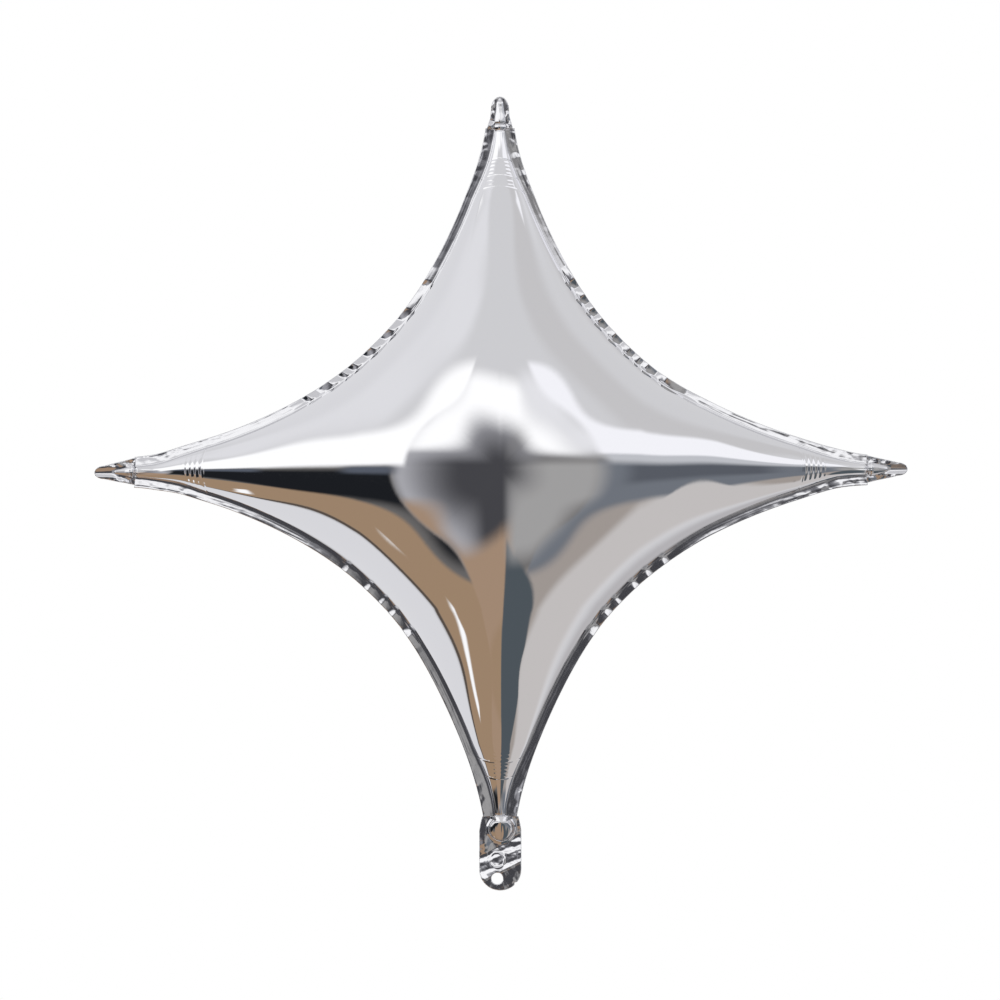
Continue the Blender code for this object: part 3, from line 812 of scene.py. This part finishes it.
# Flat film pieces: tabs and tail
def insideOutline(outline, points):
    # even-odd test of points against a closed outline
    inside = np.zeros(len(points), bool)
    x, z = points.T
    for (x1, z1), (x2, z2) in zip(outline, np.roll(outline, -1, 0), strict=True):
        crosses = (z1 > z) != (z2 > z)
        level = x1 + (z - z1) * (x2 - x1) / (z2 - z1 if z2 != z1 else 1)
        inside ^= crosses & (x < level)
    return inside


def spacedLoop(outline, spacing):
    # a closed outline again, with points about one spacing apart
    closed = np.concatenate([outline, outline[:1]])
    run = np.concatenate([[0], np.cumsum(np.hypot(*np.diff(closed, axis=0).T))])
    places = np.linspace(0, run[-1], max(8, round(run[-1] / spacing)) + 1)[:-1]
    return np.stack([np.interp(places, run, closed[:, k]) for k in (0, 1)], 1)


def filledSheet(outline, holes, spacing):
    # a fine flat mesh inside an outline, around its holes: points and triangles
    loops = [spacedLoop(np.array(loop, float), spacing) for loop in (outline, *holes)]
    rims = np.concatenate(loops)
    low, high = loops[0].min(0), loops[0].max(0)
    levels = np.arange(low[1], high[1], spacing * math.sqrt(3) / 2)
    inner = np.array([(x + (k % 2) * spacing / 2, z) for k, z in enumerate(levels)
                      for x in np.arange(low[0], high[0], spacing)])
    inner = inner[insideOutline(loops[0], inner)]
    for hole in loops[1:]:
        inner = inner[~insideOutline(hole, inner)]
    nearest = np.min(np.hypot(*(inner[:, None, :] - rims[None, :, :]).transpose(2, 0, 1)), axis=1)
    inner = inner[nearest > 0.6 * spacing]
    points = np.concatenate([rims, inner])
    edges, first = [], 0
    for loop in loops:
        edges += [(first + i, first + (i + 1) % len(loop)) for i in range(len(loop))]
        first += len(loop)
    points, _edges, faces, *_ = delaunay_2d_cdt([Vector(p) for p in points], edges, [], 0, 1e-6)
    points = np.array([tuple(p) for p in points])
    middles = np.array([points[list(face)].mean(0) for face in faces])
    kept = insideOutline(loops[0], middles)
    for hole in loops[1:]:
        kept &= ~insideOutline(hole, middles)
    return points, [list(face) for face, keep in zip(faces, kept, strict=True) if keep]


def sheetMesh(points, faces, fold, loose):
    # the flat sheet in XZ with what the sheet's node tree reads; points and fold in millimetres
    mesh = bpy.data.meshes.new("sheet")
    mesh.from_pydata(np.stack([points[:, 0], 0 * points[:, 0], points[:, 1]], 1) * mm, [], faces)
    edges = {}
    for face in faces:
        for a, b in zip(face, face[1:] + face[:1], strict=True):
            edges[min(a, b), max(a, b)] = edges.get((min(a, b), max(a, b)), 0) + 1
    inside = np.ones(len(points))
    for edge, uses in edges.items():
        if uses == 1:
            inside[list(edge)] = 0
    for name, values in (("fold", fold * mm), ("loose", loose), ("inside", inside)):
        mesh.attributes.new(name, "FLOAT", "POINT").data.foreach_set("value", np.array(values, float))
    return mesh


sheetInputs = {
    "crumple cell": 6.5 * mm,
    "crumple steepness": 0.2,
    "fine cell": 2.2 * mm,
    "fine steepness": 0.1,
    "thickness": 0.12 * mm,
    "material": hemFilm,
}


def sheetTree():
    tree, given = newTree("crumpled sheet", *sheetInputs)
    place = addNode(tree, "GeometryNodeInputPosition")
    large = crumpleNodes(tree, place, given["crumple cell"], given["crumple steepness"], 0.0)
    small = crumpleNodes(tree, place, given["fine cell"], given["fine steepness"], 3.1)
    folds = addNode(tree, mathNode, large, small, operation="ADD")
    height = addNode(tree, mathNode, folds, attribute(tree, "loose"), attribute(tree, "fold"),
                     operation="MULTIPLY_ADD")
    thick = addNode(tree, mathNode, given["thickness"], attribute(tree, "inside"), operation="MULTIPLY")
    closeTree(tree, twoSides(tree, given["Geometry"], height, thick), given)
    return tree


# Tips: a pleated cone beyond the pinch and a flat tab around it, in millimetres from the pinch
tips = {
    "start": 0.3,
    "spacing": 0.42,
    "weldHalf": 3.1,  # half width of the chamber at the pinch
    # tab: distance beyond the pinch and half width, then its length
    "side": {"tab": [(-0.4, 9.0), (6.0, 7.4), (12.0, 6.2), (20.0, 4.3)], "length": 26.3,
             "groove": (10.0, 15.0, 0.9, 3.3)},
    "top": {"tab": [(-0.4, 8.6), (4.0, 7.4), (8.0, 6.2), (12.5, 5.9)], "length": 20.9,
            "groove": (17.0, 20.0, 0.3, 2.4)},
    # cone: distance beyond the pinch and radius, from the collar to the point
    "cones": {
        "left": [(-0.9, 0.9), (0.0, 2.8), (0.9, 4.1), (1.7, 4.3), (2.4, 3.4), (3.0, 3.6), (6.2, 2.6),
                 (10.0, 1.7), (12.8, 1.1), (13.4, 0.0)],
        "right": [(-0.9, 0.9), (0.0, 2.9), (0.9, 4.3), (1.8, 3.9), (2.8, 4.5), (3.8, 4.1), (6.4, 3.6),
                  (9.0, 2.9), (12.0, 2.0), (13.2, 1.3), (13.4, 0.0)],
        "top": [(-1.9, 0.9), (-1.2, 3.2), (0.6, 4.05), (2.2, 3.7), (3.2, 2.9), (3.9, 3.8), (6.0, 3.7),
                (10.0, 3.0), (14.0, 2.5), (17.4, 2.0), (18.6, 0.0)],
    },
    "depthShare": {"left": 0.7, "right": 0.75, "top": 0.7},
}
coneInputs = {
    "rows": 90.0,
    "steps around": 120.0,
    "pleat scale": 1.5,
    "pleat depth": 0.16,
    "pleat drift": 0.25,
    "seed": 0.0,
    "material": pleatFilm,
}


def smoothLine(points, steps):
    # a Catmull-Rom curve through the points
    p = np.array([points[0], *points, points[-1]], float)
    t = np.linspace(0, len(points) - 1 - 1e-9, steps)
    k = t.astype(int)
    u = (t - k)[:, None]
    a, b, c, d = (p[k + i] for i in range(4))
    return b + ((c - a) * u + (2 * a - 5 * b + 4 * c - d) * u**2 + (3 * b - a - 3 * c + d) * u**3) / 2


def profileMesh(points):
    # a turned piece's profile: along X, half depth in Y, half width in Z
    line = np.maximum(smoothLine(points, 120), [-100, 0, 0])
    line[0][1:] = line[-1][1:] = 0
    mesh = bpy.data.meshes.new("profile")
    mesh.from_pydata([(a * mm, deep * mm, wide * mm) for a, wide, deep in line],
                     [(i, i + 1) for i in range(len(line) - 1)], [])
    return mesh


def pleatTree():
    tree, given = newTree("pleated turned film", *coneInputs)
    path = addNode(tree, "GeometryNodeMeshToCurve", given["Geometry"])
    grid = addNode(tree, "GeometryNodeMeshGrid", 1.0, 1.0, given["rows"], given["steps around"])
    share = addNode(tree, "ShaderNodeSeparateXYZ", grid.outputs["UV Map"])
    sample = addNode(tree, "GeometryNodeSampleCurve", inputs={"Curves": path, "Factor": share.outputs["X"]},
                     mode="FACTOR")
    line = addNode(tree, "ShaderNodeSeparateXYZ", sample.outputs["Position"])
    turn = addNode(tree, mathNode, share.outputs["Y"], 2 * math.pi, operation="MULTIPLY")
    level = addNode(tree, mathNode, turn, operation="COSINE")
    forth = addNode(tree, mathNode, turn, operation="SINE")
    drift = addNode(tree, mathNode, line.outputs["X"], 1 / (10 * mm), operation="MULTIPLY")
    drift = addNode(tree, mathNode, drift, given["pleat drift"], given["seed"], operation="MULTIPLY_ADD")
    around = addNode(tree, "ShaderNodeCombineXYZ", level, forth, drift)
    pleat = addNode(tree, "ShaderNodeTexVoronoi", inputs={"Vector": around, "Scale": given["pleat scale"]},
                    voronoi_dimensions="3D", feature="DISTANCE_TO_EDGE")
    swell = addNode(tree, mathNode, pleat, -0.2, operation="ADD")
    swell = addNode(tree, mathNode, swell, given["pleat depth"], 1.0, operation="MULTIPLY_ADD")
    high = addNode(tree, mathNode, line.outputs["Z"], level, operation="MULTIPLY")
    deep = addNode(tree, mathNode, line.outputs["Y"], forth, operation="MULTIPLY")
    turned = addNode(tree, "ShaderNodeCombineXYZ", 0.0, deep, high)
    turned = addNode(tree, vectorNode, turned, inputs={"Scale": swell}, operation="SCALE")
    ahead = addNode(tree, "ShaderNodeCombineXYZ", line.outputs["X"])
    place = addNode(tree, vectorNode, ahead, turned, operation="ADD")
    wrapped = addNode(tree, "GeometryNodeSetPosition", grid.outputs["Mesh"], inputs={"Position": place})
    closed = addNode(tree, "GeometryNodeMergeByDistance", wrapped, inputs={"Distance": 0.002 * mm})
    closeTree(tree, closed, given)
    return tree


def onArm(arm):
    # from a tip's own axes, along the arm and aside, to the balloon's
    aheadX, aheadZ = star["arms"][arm]
    start = star["pinch"][arm] + tips["start"] * mm
    move = Matrix.Translation((star["middle"][0] + aheadX * start, 0, star["middle"][1] + aheadZ * start))
    return move @ Matrix.Rotation(-math.atan2(aheadZ, aheadX), 4, "Y")


def tabOutline(form):
    last, half = form["tab"][-1]
    reach = form["length"] - last
    nose = [(last + reach * math.sin(a), half * math.cos(a)) for a in np.radians(np.arange(15, 90, 15))]
    side = [(-2.0, 2.0), (-0.4, 2.4), *form["tab"], *nose]
    return [*side, (form["length"], 0.0), *[(a, -b) for a, b in reversed(side)]]


def tabFold(form, points):
    # a groove along the tab beyond the cone
    first, full, depth, half = form["groove"]
    along, aside = points.T
    share = np.clip((along - first) / (full - first), 0, 1)
    wide = half * (1 - 0.25 * np.clip((along - first) / (form["length"] - first), 0, 1))
    return depth * share * np.clip(1 - (aside / wide) ** 2, 0, 1)


sheets, pleats = sheetTree(), pleatTree()
for seed, arm in enumerate(("left", "right", "top")):
    form = tips["top" if arm == "top" else "side"]
    points, faces = filledSheet(tabOutline(form), [], tips["spacing"])
    along, aside = points.T
    loose = np.clip((np.abs(aside) - tips["weldHalf"]) / 2, 0, 1)
    mesh = sheetMesh(points, faces, tabFold(form, points), loose)
    mesh.transform(onArm(arm))
    tab = grown(f"film_tip_tab_{arm}", mesh, sheets, {**sheetInputs})
    pointOutwards(tab)
    placed(tab, f"tip_tab_{arm}")
    profile = [(a, r, r * tips["depthShare"][arm]) for a, r in tips["cones"][arm]]
    cone = grown(f"pleated_tip_cone_{arm}", profileMesh(profile), pleats, {**coneInputs, "seed": 1.7 * seed},
                 onArm(arm))
    pointOutwards(cone)
    placed(cone, f"tip_cone_{arm}")

# Neck and tail, in millimetres from the tether hole
tail = {
    "middleX": 2.0,
    "halfWidth": 13.7,
    "topHalfWidth": 11.8,
    "topZ": 40.6,
    "shoulder": (12.9, 36.0),  # half width and height where its sides bend inwards
    "shoulderZ": 31.5,
    "roundZ": 5.9,
    "holeRadius": 3.8,
    "notch": (11.9, -3.0, 1.3),  # a nick in the right lower edge: x, z, radius
    "spacing": 0.4,
    "filmApart": 0.35,  # each film from the middle plane
    # the tail's own bend: place along the slanted direction, height (+ is away from the front)
    "folds": [(-9.0, -0.5), (3.2, -0.4), (4.4, -0.7), (12.0, 0.75), (21.0, 2.3), (22.4, 2.2), (28.0, 1.7),
              (36.0, 0.6), (44.0, 0.2)],
    "slope": 0.5,  # the bend rises to the right
    # wrinkles on it, rising less: place, half width, height
    "wrinkles": [(8.6, 1.3, 0.12), (14.6, 1.4, -0.14), (17.6, 1.2, 0.1), (24.4, 1.3, 0.14)],
    "wrinkleSlope": 0.36,
    "ring": (-0.1, 11.9, 4.8, 0.6, 0.24),  # embossed ring: x, z, radius, half width, height
    "dent": (-8.0, 23.5, 3.4, 6.0, -1.1),  # the hollow at the left: x, z, half width, half height, depth
    "rim": (1.0, 0.9, 1.0),  # the film's rise around the neck bulb: distance, half width, height
    "crumple cell": 5.6 * mm,
    "crumple steepness": 0.05,
    "fine cell": 1.9 * mm,
    "fine steepness": 0.02,
}
neck = {
    "middleX": 2.6,
    # height above the hole, half width and half depth, from the pinch down to the point
    "profile": [(41.6, 1.0, 1.0), (40.9, 4.2, 3.0), (39.4, 4.6, 3.9), (37.8, 4.4, 4.6), (36.6, 5.9, 4.9),
                (33.6, 7.4, 3.9), (30.4, 7.1, 2.8), (27.4, 5.2, 1.9), (25.6, 2.8, 1.2), (24.8, 0.0, 0.0)],
}


def tailOutline():
    half, above = tail["halfWidth"], tail["shoulderZ"]
    turns = np.radians(np.linspace(0, -180, 41))
    right = [(tail["topHalfWidth"], tail["topZ"]), tail["shoulder"], (half, above)]
    end = [(half * math.cos(a), tail["roundZ"] + half * math.sin(a)) for a in turns]
    ring = [*right, *end, *[(-x, z) for x, z in reversed(right)]]
    outline = []
    notchX, notchZ, notchRadius = tail["notch"]
    for x, z in spacedLoop(np.array(ring), tail["spacing"]):
        x += tail["middleX"]
        off = math.hypot(x - notchX, z - notchZ)
        if off < notchRadius:  # pushed out of the notch's circle, towards the tail's middle
            x -= (notchRadius - off) * 0.8
            z += (notchRadius - off) * 0.6
        outline.append((x, z))
    return outline


def bulbDistance(points):
    # distance outside the neck bulb's outline
    line = smoothLine(neck["profile"], 60)
    outline = np.concatenate([np.stack([neck["middleX"] + line[:, 1], line[:, 0]], 1),
                              np.stack([neck["middleX"] - line[::-1, 1], line[::-1, 0]], 1)])
    away = np.min(np.hypot(*(points[:, None, :] - outline[None, :, :]).transpose(2, 0, 1)), axis=1)
    return np.where(insideOutline(outline, points), 0, away)


def tailFold(points, facing):
    x, z = points.T
    common = np.interp(z - tail["slope"] * (x - tail["middleX"]), *np.array(tail["folds"]).T)
    slanted = z - tail["wrinkleSlope"] * (x - tail["middleX"])
    for place, half, height in tail["wrinkles"]:
        common += height * np.exp(-(((slanted - place) / half) ** 2))
    dentX, dentZ, halfWide, halfHigh, depth = tail["dent"]
    common += depth * np.exp(-(((x - dentX) / halfWide) ** 2) - ((z - dentZ) / halfHigh) ** 2)
    ringX, ringZ, ringRadius, ringHalf, ringHeight = tail["ring"]
    off = np.hypot(x - ringX, z - ringZ) - ringRadius
    swell = ringHeight * np.exp(-((off / ringHalf) ** 2))
    rimAway, rimHalf, rimHeight = tail["rim"]
    swell += rimHeight * np.exp(-(((bulbDistance(points) - rimAway) / rimHalf) ** 2))
    return common + facing * (tail["filmApart"] + swell)


turns = np.radians(np.arange(0, 360, 8))
hole = [(tail["holeRadius"] * math.cos(a), tail["holeRadius"] * math.sin(a)) for a in turns]
points, faces = filledSheet(tailOutline(), [hole], tail["spacing"])
for facing, node in ((-1, "tail_front"), (1, "tail_back")):
    mesh = sheetMesh(points, faces, tailFold(points, facing), np.ones(len(points)))
    settings = {**sheetInputs, **{name: tail[name] for name in sheetInputs if name in tail}}
    sheet = grown(f"film_{node}", mesh, sheets, {**settings, "material": slackFilm})
    pointOutwards(sheet)
    placed(sheet, node)

profile = [(-z, wide, deep) for z, wide, deep in neck["profile"]]
down = Matrix.Translation((neck["middleX"] * mm, 0, 0)) @ Matrix.Rotation(math.pi / 2, 4, "Y")
bulb = grown("pleated_neck_bulb", profileMesh(profile), pleats, {
    **coneInputs, "pleat depth": 0.12, "seed": 6.1}, down)
pointOutwards(bulb)
placed(bulb, "neck_bulb")
